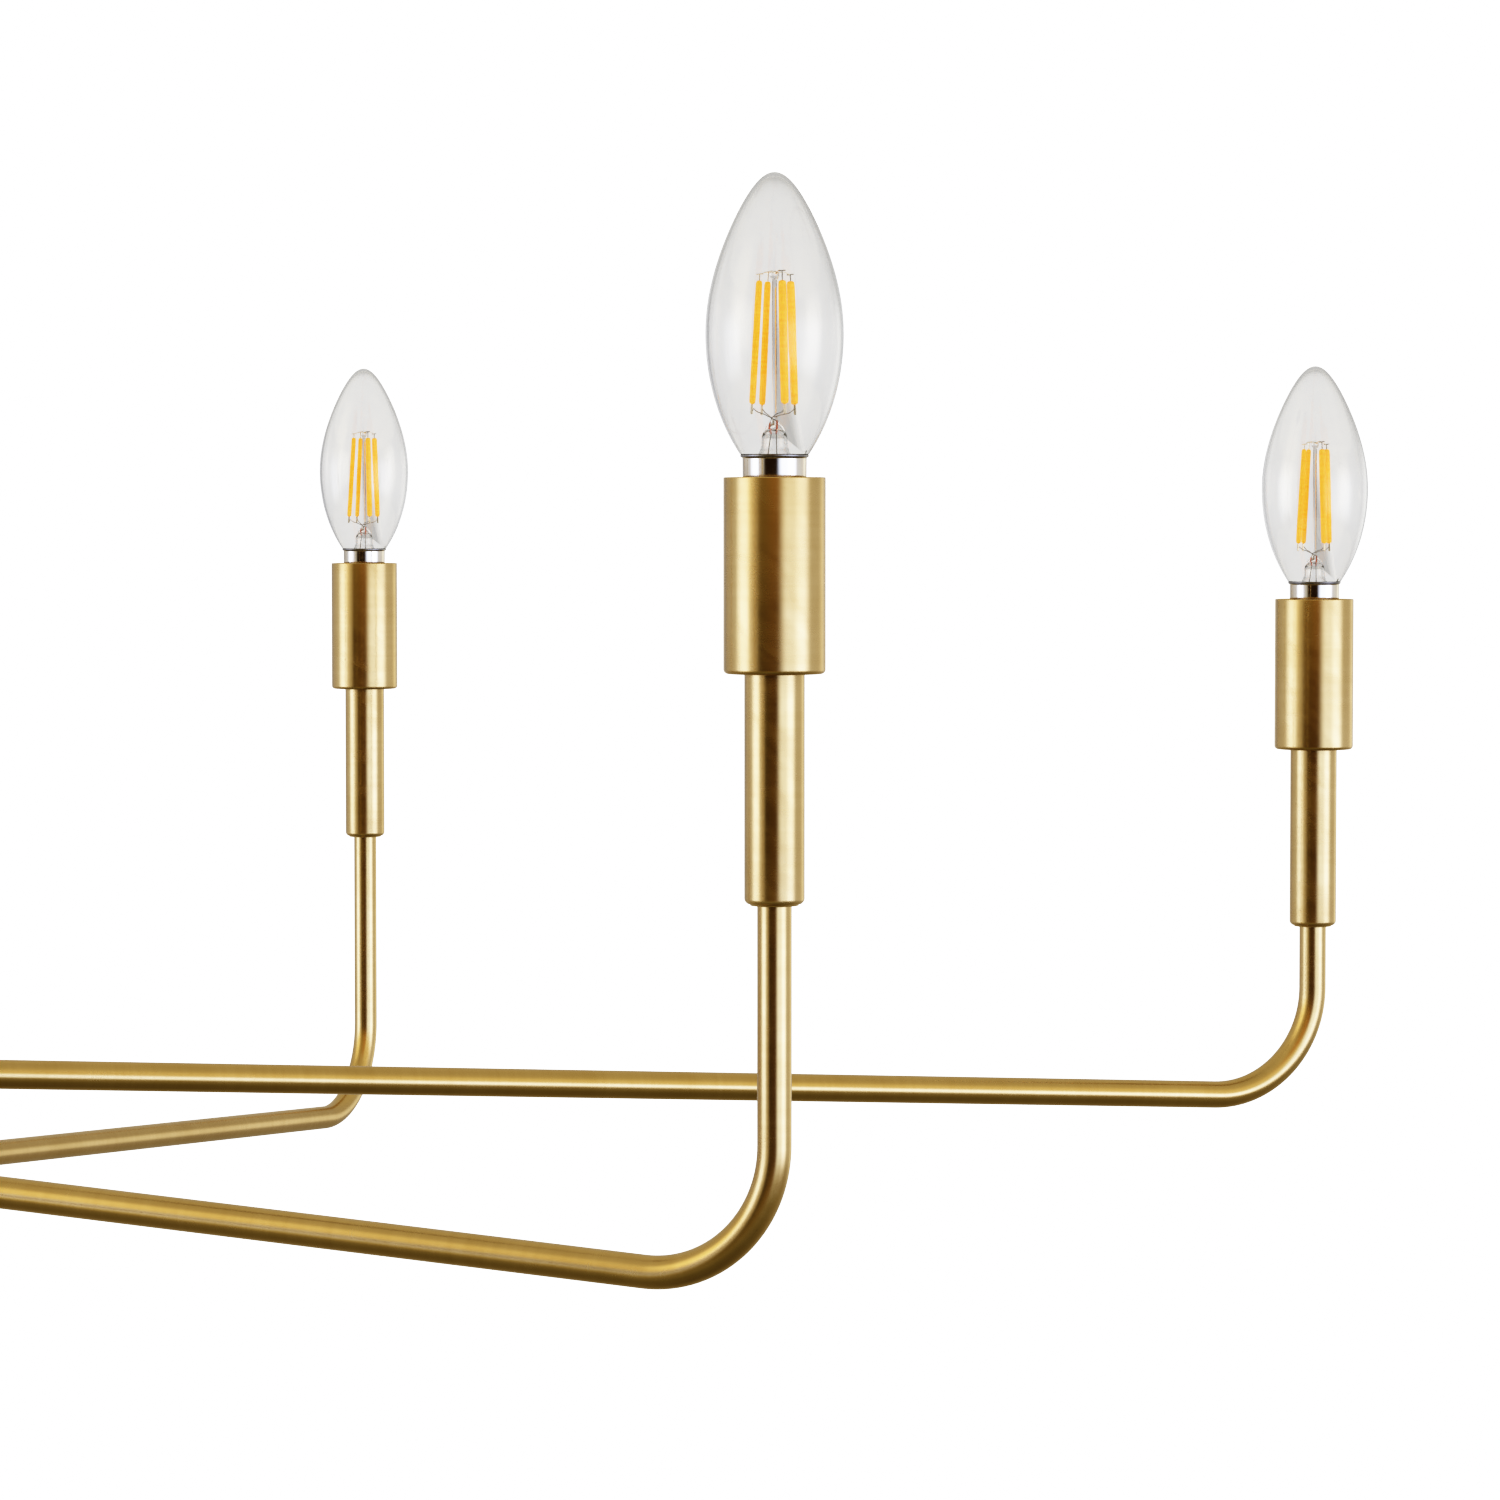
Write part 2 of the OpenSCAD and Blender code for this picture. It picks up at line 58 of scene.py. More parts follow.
# the turned parts, as the design states them, in millimetres
SWIVEL_R = 13.0
RING_R = 24.0
SPINDLE_R = 8.0
SLEEVE_R = 7.85
CUP_R = 13.25
SOCKET_R = 10.6
BULB_R = 17.9
BULB_WIDEST = 37.0
BULB_NECK = 5.9
GLASS_WALL = 0.8

# the camera
CAMERA_AT = Vector((-0.2096, -1.5483, -0.5602))
CAMERA_TURN = 22.556
CAMERA_DIP = 2.58
CAMERA_LENS = 124.65
SENSOR_WIDTH = 36.0
FULL_WHITE = 3.2  # scene brightness that the camera records as white

# the floor
FLOOR_Z = -5.0
FLOOR_R = 15.0

# where two faces meet more sharply than this, shading keeps the edge
SHARP_EDGE = radians(38)


# ---- meshes ----


class Skin:
    """One piece's mesh. Each point also holds its lay, its place measured along and across its own part,
    its grain, the direction square to the brush marks, and its wear, which is 1 on a rubbed outer edge."""

    def __init__(self):
        self.points = []
        self.lays = []
        self.grains = []
        self.wears = []
        self.faces = []

    def add(self, point, lay, grain, wear=0.0):
        self.points.append(point)
        self.lays.append(lay)
        self.grains.append(grain)
        self.wears.append(wear)
        return len(self.points) - 1

    def bridge(self, a, b):
        """Faces between two rings of points. A ring of one point is a pole."""
        count = max(len(a), len(b))
        for k in range(count):
            n = (k + 1) % count
            if len(a) == 1:
                self.faces.append((a[0], b[n], b[k]))
            elif len(b) == 1:
                self.faces.append((a[k], a[n], b[0]))
            else:
                self.faces.append((a[k], a[n], b[n], b[k]))

    def lathe(self, profile, centre, steps, seed=0.0, closed=False, ripple=None):
        """Turns a profile of (radius, height, wear) points, in millimetres, about a vertical axis.
        The solid lies to the left of the profile. ripple(angle, height) is added to the radius."""
        rings = []
        last = len(profile) - 1
        for i, (r, z, wear) in enumerate(profile):
            if r < 1e-6:
                lay = Vector((seed, 0, z * MM))
                rings.append([self.add(centre + Vector((0, 0, z * MM)), lay, Vector((1, 0, 0)), wear)])
                continue
            before, after = profile[max(i - 1, 0)], profile[min(i + 1, last)]
            run, rise = Vector((after[0] - before[0], after[1] - before[1])).normalized()
            ring = []
            for k in range(steps):
                angle = tau * k / steps
                out = (r + (ripple(angle, z) if ripple else 0)) * MM
                spot = Vector((out * cos(angle), out * sin(angle), z * MM))
                grain = Vector((run * cos(angle), run * sin(angle), rise))
                ring.append(self.add(centre + spot, spot + Vector((seed, 0, 0)), grain, wear))
            rings.append(ring)
        for a, b in zip(rings, rings[1:]):
            self.bridge(a, b)
        if closed:
            self.bridge(rings[-1], rings[0])

    def sweep(self, path, radii, steps, seed, wears=None):
        """A round bar with closed ends along a path, with one radius for each point of the path."""
        along = 0.0
        side = None
        rings = []
        last = len(path) - 1
        for i, point in enumerate(path):
            heading = (path[min(i + 1, last)] - path[max(i - 1, 0)]).normalized()
            if side is None:
                side = heading.orthogonal().normalized()
            else:
                side = (side - heading * side.dot(heading)).normalized()
                along += (point - path[i - 1]).length
            up = heading.cross(side)
            ring = []
            for k in range(steps):
                angle = tau * k / steps
                spot = (side * cos(angle) + up * sin(angle)) * radii[i]
                lay = Vector((seed + radii[i] * cos(angle), radii[i] * sin(angle), along))
                ring.append(self.add(point + spot, lay, heading, wears[i] if wears else 0.0))
            rings.append(ring)
        for a, b in zip(rings, rings[1:]):
            self.bridge(a, b)
        for end, ring in ((path[0], rings[0]), (path[last], rings[-1])):
            pole = [self.add(end, self.lays[ring[0]], self.points[ring[0]] - end)]
            if end is path[0]:
                self.bridge(pole, ring)
            else:
                self.bridge(ring, pole)

    def build(self, name, body, material, slot, node):
        """The finished piece: it rides on a body, wears a material and stands for a CAD node."""
        mesh = bpy.data.meshes.new(name)
        mesh.from_pydata(self.points, [], self.faces)
        lay = mesh.attributes.new("lay", "FLOAT_VECTOR", "POINT")
        lay.data.foreach_set("vector", [c for spot in self.lays for c in spot])
        grain = mesh.attributes.new("grain", "FLOAT_VECTOR", "POINT")
        grain.data.foreach_set("vector", [c for way in self.grains for c in way])
        wear = mesh.attributes.new("wear", "FLOAT", "POINT")
        wear.data.foreach_set("value", self.wears)
        mesh.materials.append(material)
        mesh.shade_smooth()
        mesh.set_sharp_from_angle(angle=SHARP_EDGE)
        piece = bpy.data.objects.new(name, mesh)
        bpy.context.scene.collection.objects.link(piece)
        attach(piece, body)
        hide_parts(node)


def outline(corners, steps=4):
    """A profile from (radius, height, rounding) corners. Rounded outer corners are worn, and rounded
    inner ones are not."""
    profile = []
    last = len(corners) - 1
    for i, (r, z, rounding) in enumerate(corners):
        if i in (0, last) or not rounding:
            profile.append((r, z, 0.0))
            continue
        here = Vector((r, z))
        back = Vector(corners[i - 1][:2]) - here
        ahead = Vector(corners[i + 1][:2]) - here
        outer = back.y * ahead.x - back.x * ahead.y > 0
        start = here + back.normalized() * min(rounding, back.length * 0.48)
        end = here + ahead.normalized() * min(rounding, ahead.length * 0.48)
        for s in range(steps + 1):
            t = s / steps
            spot = start * (1 - t) ** 2 + here * 2 * t * (1 - t) + end * t ** 2
            profile.append((spot.x, spot.y, 4 * t * (1 - t) if outer else 0.0))
    return profile


def arc(r, z, radius, start, end, steps=16):
    """Profile points on part of a circle about (r, z), from one angle to another in degrees."""
    angles = [radians(start + (end - start) * i / steps) for i in range(steps + 1)]
    return [(r + radius * cos(a), z + radius * sin(a), 0.0) for a in angles]


def groove(r, z, depth, edge, root):
    """Corners of a turned groove at a height, with the rounding of its two edges and of its root."""
    half_width = 0.4
    return [(r, z - half_width, edge), (r - depth, z, root), (r, z + half_width, edge)]


def knurl(count, depth, start, end):
    """A ripple of fine ridges round the part between two heights."""
    return lambda angle, z: -depth * (0.5 + 0.5 * cos(count * angle)) if start < z < end else 0.0


def spline(points, cuts):
    """A smooth path through points."""
    path = []
    for i in range(len(points) - 1):
        a, b, c, d = (points[min(max(i + k, 0), len(points) - 1)] for k in (-1, 0, 1, 2))
        for s in range(cuts):
            t = s / cuts
            path.append(0.5 * (2 * b + (c - a) * t + (2 * a - 5 * b + 4 * c - d) * t ** 2
                               + (3 * b - a - 3 * c + d) * t ** 3))
    path.append(points[-1])
    return path


def low(node):
    return Vector(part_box(node)[0])


def high(node):
    return Vector(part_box(node)[1])


def middle(node):
    return (low(node) + high(node)) / 2


def height_of(node):
    """A CAD node's height in millimetres."""
    return (high(node).z - low(node).z) / MM


# ---- materials ----


class Nodes:
    """Short calls for building a node tree."""

    def __init__(self, tree):
        self.tree = tree

    def node(self, kind, inputs=None, **settings):
        """A new node. Each of its inputs is given a value or another node's output."""
        node = self.tree.nodes.new(kind)
        for key, value in settings.items():
            setattr(node, key, value)
        for key, value in (inputs or {}).items():
            self.feed(node.inputs[key], value)
        return node

    def feed(self, socket, value):
        if isinstance(value, bpy.types.NodeSocket):
            self.tree.links.new(value, socket)
        elif socket.type == "RGBA":
            socket.default_value = (*value, 1.0)
        else:
            socket.default_value = value

    def maths(self, operation, *values):
        return self.node("ShaderNodeMath", dict(enumerate(values)), operation=operation).outputs[0]

    def span(self, value, low_in, high_in, low_out=0.0, high_out=1.0):
        """value moved from one range to another, clamped."""
        inputs = {"Value": value, "From Min": low_in, "From Max": high_in,
                  "To Min": low_out, "To Max": high_out}
        return self.node("ShaderNodeMapRange", inputs).outputs["Result"]

    def mix(self, share, a, b, blend="MIX"):
        node = self.node("ShaderNodeMix", data_type="RGBA", blend_type=blend)
        for socket, value in ((0, share), (6, a), (7, b)):
            self.feed(node.inputs[socket], value)
        return node.outputs[2]

    def ramp(self, value, start, end, stops):
        """A colour that eases through (place, colour) stops, which run from start to end."""
        node = self.node("ShaderNodeValToRGB", {"Fac": self.span(value, start, end)})
        node.color_ramp.interpolation = "EASE"
        elements = node.color_ramp.elements
        while len(elements) < len(stops):
            elements.new(0.5)
        for element, (place, colour) in zip(elements, stops):
            element.position = (place - start) / (end - start)
            element.color = (*colour, 1.0)
        return node.outputs["Color"]


class Shader(Nodes):
    """Short calls for building one material. Its patterns follow each piece's own lay or, where
    own_lay is False, the mesh's plain coordinates."""

    def __init__(self, name, own_lay=True):
        self.material = bpy.data.materials.new(name)
        self.material.use_nodes = True
        super().__init__(self.material.node_tree)
        self.surface = self.tree.nodes["Principled BSDF"]
        if own_lay:
            self.lay = self.node("ShaderNodeAttribute", attribute_name="lay").outputs["Vector"]
        else:
            self.lay = self.node("ShaderNodeTexCoord").outputs["Object"]

    def set(self, **inputs):
        for key, value in inputs.items():
            self.feed(self.surface.inputs[key.replace("_", " ")], value)

    def noise(self, scale, detail=2.0, warp=0.0, tilt=None):
        """Noise from 0 to 1 with features about 1/scale metres across. scale may differ by axis, and
        tilt turns those axes first."""
        scales = scale if isinstance(scale, tuple) else (scale,) * 3
        place = self.lay
        if tilt:
            turn = {"Vector": place, "Rotation": [radians(a) for a in tilt]}
            place = self.node("ShaderNodeVectorRotate", turn, rotation_type="EULER_XYZ").outputs[0]
        stretched = self.node("ShaderNodeVectorMath", {0: place, 1: scales}, operation="MULTIPLY")
        inputs = {"Vector": stretched.outputs[0], "Scale": 1.0, "Detail": detail, "Distortion": warp}
        return self.node("ShaderNodeTexNoise", inputs).outputs["Fac"]

    def wear(self):
        return self.node("ShaderNodeAttribute", attribute_name="wear").outputs["Fac"]

    def grain(self):
        """The direction square to the brush marks, turned with the piece."""
        stored = self.node("ShaderNodeAttribute", attribute_name="grain").outputs["Vector"]
        turned_with = self.node("ShaderNodeVectorTransform", {0: stored}, vector_type="VECTOR",
                                convert_from="OBJECT", convert_to="WORLD")
        return turned_with.outputs[0]

    def bump(self, height):
        """A bump whose height is in metres."""
        inputs = {"Height": height, "Distance": 1.0, "Strength": 1.0}
        self.set(Normal=self.node("ShaderNodeBump", inputs).outputs["Normal"])


def grey(value):
    return (value, value, value)


def brushed_brass(name, own_lay=True, anisotropy=0.65, smears=1.0):
    """Lacquered brass, brushed round each part, with slanting smears where the lacquer is uneven.
    Pieces with their own lay are also brighter on rubbed edges."""
    light, dark = (0.65, 0.475, 0.225), (0.60, 0.43, 0.19)
    marked, pitted, rubbed = (0.52, 0.355, 0.135), (0.36, 0.23, 0.09), (0.78, 0.62, 0.36)
    roughness = 0.25
    s = Shader(name, own_lay)
    cloud = s.noise((60, 60, 42), detail=3.0, warp=0.6)
    smear = s.noise((170, 170, 60), detail=1.2, warp=0.5, tilt=(28, 38, 0))
    streak = s.noise((24, 24, 420), detail=3.0)
    fine = s.noise((90, 90, 1900), detail=2.0)
    speck = s.noise(900, detail=1.0)
    toned = s.mix(s.span(cloud, 0.38, 0.72), light, dark)
    lined = s.mix(s.span(streak, 0.35, 0.7, 0.0, 0.25), toned, marked)
    colour = s.mix(s.span(speck, 0.76, 0.82, 0.0, 0.3), lined, pitted)
    if own_lay:
        colour = s.mix(s.span(s.wear(), 0.0, 1.0, 0.0, 0.5), colour, rubbed)
        s.set(Anisotropic=anisotropy, Tangent=s.grain())
    patchy = s.span(smear, 0.3, 0.7, roughness - 0.03 * smears, roughness + 0.045 * smears)
    rough = s.maths("ADD", patchy, s.span(fine, 0.3, 0.7, -0.006, 0.008))
    s.set(Base_Color=colour, Metallic=1.0, Roughness=rough)
    scratches = s.span(fine, 0.0, 1.0, 0.0, 2.5e-7)
    s.bump(s.maths("ADD", scratches, s.span(smear, 0.0, 1.0, 0.0, 3.5e-6 * smears)))
    return s.material


def plated(name, colour, dull, roughness, own_lay=True):
    """Bright plated metal: fine polishing marks and a few duller patches."""
    s = Shader(name, own_lay)
    cloud = s.noise(130, detail=3.0)
    fine = s.noise((300, 300, 2600), detail=2.0)
    s.set(Base_Color=s.mix(s.span(cloud, 0.4, 0.7), colour, dull), Metallic=1.0,
          Roughness=s.span(cloud, 0.3, 0.7, roughness, roughness + 0.12))
    s.bump(s.span(fine, 0.0, 1.0, 0.0, 4.0e-6))
    return s.material


def moulded(name, colour, stain, roughness, own_lay=True):
    """Moulded or extruded plastic and ceramic: faint colour drift, a satin skin and a fine grain."""
    s = Shader(name, own_lay)
    cloud = s.noise(70, detail=3.0)
    skin = s.noise(900, detail=2.0)
    s.set(Base_Color=s.mix(s.span(cloud, 0.35, 0.7), colour, stain),
          Roughness=s.span(skin, 0.3, 0.7, roughness, roughness + 0.1))
    s.bump(s.span(skin, 0.0, 1.0, 0.0, 1.2e-5))
    return s.material


def clear_glass(name):
    """Blown glass: faintly wavy, with a trace of dust that dulls it in places."""
    s = Shader(name)
    wave = s.noise((70, 70, 45), detail=1.0)
    dust = s.noise(260, detail=3.0)
    s.set(Base_Color=s.mix(s.span(dust, 0.4, 0.8), (1.0, 0.995, 0.985), grey(0.97)),
          Transmission_Weight=1.0, IOR=1.5, Roughness=s.span(dust, 0.45, 0.8, 0.0, 0.03),
          Specular_Tint=(1.0, 0.92, 0.74))
    s.bump(s.span(wave, 0.0, 1.0, 0.0, 6.0e-5))
    return s.material


def filament_coat_painted_glow(name):
    """The amber silicone coat over a filament's row of chips, with a painted glow: a faint amber emission,
    though the bulb is unlit.
    """
    s = Shader(name)
    chips = s.noise((200, 200, 1400), detail=1.0)
    # painted glow: the coat emits a faint amber light, though the bulb is unlit
    s.set(Base_Color=s.mix(s.span(chips, 0.3, 0.7), (1.0, 0.62, 0.06), (0.95, 0.50, 0.03)),
          Roughness=s.span(chips, 0.3, 0.7, 0.35, 0.5), Emission_Color=(1.0, 0.37, 0.03),
          Emission_Strength=0.85)
    s.bump(s.span(chips, 0.0, 1.0, 0.0, 4.0e-5))
    return s.material


BRASS = brushed_brass("brushed_brass")
BRASS_ARM = brushed_brass("brushed_brass_arm", anisotropy=0.45, smears=0.5)
BRASS_CAD = brushed_brass("brushed_brass_cast", own_lay=False)
STEEL = plated("zinc_plated_steel", (0.56, 0.57, 0.58), (0.40, 0.40, 0.38), 0.26, own_lay=False)
NICKEL = plated("nickel_plate", (0.80, 0.71, 0.56), (0.70, 0.62, 0.49), 0.05)
# dark nickel for the stem's wires; on the hooks to the view's right and on the ring under the glass, its
# darkness is painted shade
WIRE_AND_PAINTED_SHADE = plated("nickel_wire_and_painted_shade", (0.36, 0.34, 0.32), (0.22, 0.20, 0.18), 0.25)
COPPER = plated("copper_seal", (0.75, 0.24, 0.16), (0.60, 0.14, 0.10), 0.3)
LAMPHOLDER = moulded("phenolic_lampholder", (0.80, 0.77, 0.68), (0.72, 0.68, 0.58), 0.32)
INSULATOR = moulded("black_insulator", (0.012, 0.012, 0.013), (0.03, 0.028, 0.027), 0.25)
WHITE = moulded("white_terminal", (0.82, 0.82, 0.80), (0.74, 0.73, 0.69), 0.4, own_lay=False)
NYLON = moulded("nylon_washer", (0.86, 0.85, 0.80), (0.78, 0.76, 0.69), 0.45, own_lay=False)
CABLE = moulded("cable_sheath", (0.06, 0.06, 0.062), (0.10, 0.10, 0.10), 0.42, own_lay=False)
LEAD = moulded("lead_sheath", (0.78, 0.75, 0.66), (0.70, 0.66, 0.56), 0.4, own_lay=False)
GLASS = clear_glass("clear_glass")
FILAMENT = filament_coat_painted_glow("filament_coat_painted_glow")


# ---- CAD parts that keep their own meshes ----

CAD_FINISH = {
    BRASS_CAD: ("swivel_yoke", "swivel_knuckle"),
    STEEL: ("ceiling_bracket", "canopy_studs", "hanging_nipple", "bracket_nut", "earth_screw",
            "swivel_pins", "spindle", "clamp_nut"),
    WHITE: ("terminal_block", "splice_block"),
    NYLON: ("tier_washers",),
    CABLE: ("supply_cable", "feed_cable"),
    LEAD: tuple(f"arm_leads_{t}" for t in range(1, 5)),
}


def finish_cad_parts():
    for finish, names in CAD_FINISH.items():
        for name in names:
            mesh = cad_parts[name].data
            mesh.materials.clear()
            mesh.materials.append(finish)


# ---- ceiling and suspension ----


def turned(name, body, profile, node, steps=96, closed=True, ripple=None):
    """A brass piece turned on the hub's axis. Heights are above the node's lowest point."""
    skin = Skin()
    skin.lathe(profile, Vector((0, 0, low(node).z)), steps, closed=closed, ripple=ripple)
    skin.build(name, body, BRASS, "brass", node)


def canopy():
    """A spun pan with a raised ring round the nipple and a groove near its rim."""
    h = height_of("canopy")
    r = high("canopy").x / MM
    corner_r, side_foot, wall, bore_r = 8, 8.5, 1.2, 5.0
    profile = [(bore_r, 0.0, 0.0), (12.6, 0.0, 0.0), (12.9, 0.35, 0.0), (13.3, 0.35, 0.0), (13.6, 0.0, 0.4)]
    profile += arc(r - corner_r, corner_r, corner_r, -90, 0)
    profile += outline([(r, side_foot, 0), *groove(r, h - 2.0, 0.4, 0.4, 0.3), (r, h, 0.6),
                        (r - wall, h, 0.4), (r - wall, side_foot, 0)])
    profile += arc(r - corner_r, corner_r, corner_r - wall, 0, -90)
    profile += [(bore_r, wall, 0.0)]
    turned("canopy_pan", "ceiling", profile, "canopy", steps=160)


def canopy_nuts():
    """Two nuts, each with its dome below and its knurled part against the canopy."""
    h = height_of("canopy_nuts")
    dome_r, knurl_r, bore_r = 4.5, 5.5, 2.05
    profile = arc(0, dome_r, dome_r, -90, 0, 10)
    profile += outline([(dome_r, 4.6, 0), (dome_r, h - 4.2, 0.3), (knurl_r, h - 3.9, 0.5),
                        (knurl_r, h - 0.1, 0.5), (bore_r, h, 0)])
    out = high("canopy_nuts").x - knurl_r * MM
    skin = Skin()
    for side in (-1, 1):
        skin.lathe(profile, Vector((side * out, 0, low("canopy_nuts").z)), 72, seed=side,
                   ripple=knurl(24, 0.3, h - 3.6, h - 0.4))
    skin.build("canopy_nut_pair", "ceiling", BRASS, "brass", "canopy_nuts")


def swivel():
    """The swivel's housing, with two grooves, and its knurled ring nut."""
    h = height_of("swivel_body")
    cavity_r, cavity_h, neck_r = 10.0, 10.0, 5.0
    housing = outline([(cavity_r, 0.0, 0), (SWIVEL_R, 0.0, 0.5), *groove(SWIVEL_R, 6.4, 0.4, 0.3, 0.2),
                       *groove(SWIVEL_R, h - 3.6, 0.4, 0.3, 0.2), (SWIVEL_R, h, 0.6), (neck_r, h, 0.2),
                       (neck_r, cavity_h, 0), (cavity_r, cavity_h, 0)])
    turned("swivel_housing", "ceiling", housing, "swivel_body")

    h = height_of("swivel_retainer")
    bore_r, flange_h = 7.05, 4.0
    ring_nut = outline([(bore_r, 0.0, 0), (SWIVEL_R, 0.0, 0.5), (SWIVEL_R, 0.5, 0), (SWIVEL_R, 3.5, 0),
                        (SWIVEL_R, flange_h, 0.4), (cavity_r, flange_h, 0), (cavity_r, h, 0),
                        (bore_r, h, 0)])
    turned("swivel_ring_nut", "ceiling", ring_nut, "swivel_retainer", steps=192,
           ripple=knurl(48, 0.35, 0.4, 3.6))


def down_rod():
    h = height_of("down_rod")
    r = high("down_rod").x / MM
    bore_r = r - 1.5
    profile = outline([(bore_r, 0.0, 0), (r, 0.0, 0.3), (r, h, 0.3), (bore_r, h, 0)])
    turned("down_rod_tube", "stem", profile, "down_rod")


# ---- hub ----


def hub_cap():
    """A dome over the rings, with a groove round its skirt."""
    h = height_of("hub_cap")
    skirt_h, dome_r = 3, 14
    profile = outline([(SPINDLE_R, 0, 0), (RING_R, 0, 0.5), *groove(RING_R, 2.0, 0.45, 0.25, 0.2),
                       (RING_R, skirt_h, 0)])
    profile += arc(RING_R - dome_r, skirt_h, dome_r, 4, 84, 24)
    profile += outline([(11.0, h, 0), (SPINDLE_R, h, 0.4), (SPINDLE_R, h - 1, 0)])
    turned("hub_dome", "stem", profile, "hub_cap", steps=128)


def splice_bowl():
    """The bowl under the rings, with a groove near its rim."""
    h = height_of("splice_bowl")
    foot_r, round_r, wall, bore_r = 8, 16, 4, 3.0
    profile = [(bore_r, 0.0, 0.0), (foot_r, 0.0, 0.0)]
    profile += arc(foot_r, round_r, round_r, -90, 0, 24)
    profile += outline([(RING_R, 17.0, 0), *groove(RING_R, h - 2.0, 0.45, 0.25, 0.2), (RING_R, h, 0.5),
                        (RING_R - wall, h, 0), (RING_R - wall, 16.6, 0)])
    profile += arc(foot_r, round_r, round_r - wall, 0, -90)
    profile += [(bore_r, wall, 0.0)]
    turned("hub_bowl", "stem", profile, "splice_bowl", steps=128)


def finial():
    """A ball on a beaded neck, with a flange and a screw above it."""
    h = height_of("finial")
    ball_r, neck_r, bead_r, stalk_r, screw_r = 9, 4.0, 4.6, 4.2, 3.0
    flange_top = h - 4.0
    profile = arc(0, ball_r, ball_r, -90, 62, 28)
    profile += outline([(neck_r, 17.4, 0.4), (neck_r, 18.6, 0.4), (bead_r, 19.0, 0.3), (bead_r, 20.2, 0.3),
                        (stalk_r, 20.6, 0.4), (stalk_r, h - 7.2, 0.3), (8.4, h - 7.0, 0.4),
                        (ball_r, h - 6.4, 0.4), (ball_r, flange_top, 0.5), (screw_r, flange_top, 0.2),
                        (screw_r, h, 0), (0, h, 0)])
    turned("finial_drop", "stem", profile, "finial", closed=False)


# ---- rings and arms ----


def arms_of(t):
    """Ring 1 carries arms 1 and 2, ring 2 carries arms 3 and 4, and so on."""
    return 2 * t - 1, 2 * t


def candle_spot(arm):
    """A candle's place on plan."""
    spot = middle(f"bulb_{arm}")
    return Vector((spot.x, spot.y, 0))


def arm_heading(arm):
    """The direction of an arm's straight stretch, outwards and a little down."""
    return candle_spot(arm).normalized() * cos(ARM_DROOP) + Vector((0, 0, -sin(ARM_DROOP)))


def hub_ring(t):
    """A ring, with a brazed collar where each arm enters."""
    centre = middle(f"ring_{t}")
    half = height_of(f"ring_{t}") / 2
    bore_r = SPINDLE_R + 0.05
    skin = Skin()
    skin.lathe(outline([(bore_r, -half, 0), (RING_R, -half, 0.8), (RING_R, half, 0.8), (bore_r, half, 0)]),
               centre, 128, seed=t, closed=True)
    collar_r = 5.4 * MM
    stops = ((22.0, ARM_R), (22.0, collar_r), (24.9, collar_r), (25.3, 5.1 * MM), (25.9, ARM_R))
    for arm in arms_of(t):
        heading = arm_heading(arm)
        skin.sweep([centre + heading * out * MM for out, _ in stops], [r for _, r in stops], 48, arm,
                   wears=[0, 0, 0, 1, 0])
    skin.build(f"hub_ring_{t}", f"tier_{t}", BRASS, "brass", f"ring_{t}")


def arm_tube(arm, t):
    """The straight stretch, the bend and the riser up into the sleeve."""
    hub = Vector((0, 0, middle(f"ring_{t}").z))
    reach = candle_spot(arm).length
    away = candle_spot(arm).normalized()
    heading = arm_heading(arm)
    bend_z = (ARM_BEND_R - (reach - ARM_BEND_R) * sin(ARM_DROOP)) / cos(ARM_DROOP)
    straight = (reach - ARM_BEND_R) * cos(ARM_DROOP) - bend_z * sin(ARM_DROOP)
    stops = [ARM_ROOT, straight * 0.25, straight * 0.5, straight * 0.75, straight - 2 * MM]
    path = [hub + heading * stop for stop in stops]
    centre = hub + away * (reach - ARM_BEND_R) + Vector((0, 0, bend_z))
    bend_steps = 36
    for i in range(bend_steps + 1):
        angle = (-pi / 2 - ARM_DROOP) * (1 - i / bend_steps)
        path.append(centre + away * ARM_BEND_R * cos(angle) + Vector((0, 0, ARM_BEND_R * sin(angle))))
    foot = path[-1]
    top = low(f"sleeves_{t}").z + RISER_GRIP
    path.append(foot + Vector((0, 0, 2 * MM)))
    path += [Vector((foot.x, foot.y, z)) for z in ((foot.z + top) / 2, top)]
    skin = Skin()
    skin.sweep(path, [ARM_R] * len(path), 56, arm * 0.37)
    skin.build(f"arm_tube_{arm}", f"tier_{t}", BRASS_ARM, "brass", f"arm_{arm}")


# ---- candles ----


def candle_pair(name, t, node, profile, finish, steps, shift=0.0, closed=True):
    """The same turned piece on both arms of a ring. finish is a material and its slot, and the slot is not
    used. Heights are above the node's lowest point, and shift moves the pattern of the material."""
    skin = Skin()
    for arm in arms_of(t):
        centre = candle_spot(arm) + Vector((0, 0, low(node).z))
        skin.lathe(profile, centre, steps, seed=arm * 0.53 + shift, closed=closed)
    skin.build(name, f"tier_{t}", *finish, node)


def sleeves(t):
    """Slim tubes on the risers, with a step and a chamfer underneath."""
    node = f"sleeves_{t}"
    h = height_of(node)
    riser_r = ARM_R / MM
    bore_r, bore_foot = 5.0, 12.0
    profile = outline([(riser_r, 0.3, 0), (riser_r + 0.1, 0, 0), (6.3, 0, 0.15), (6.4, 0.4, 0.1),
                       (7.0, 0.45, 0.2), (SLEEVE_R, 1.25, 0.6), (SLEEVE_R, h, 0), (bore_r, h, 0),
                       (bore_r, bore_foot, 0), (riser_r, bore_foot, 0)])
    candle_pair(f"sleeve_pair_{t}", t, node, profile, (BRASS, "brass"), 64)


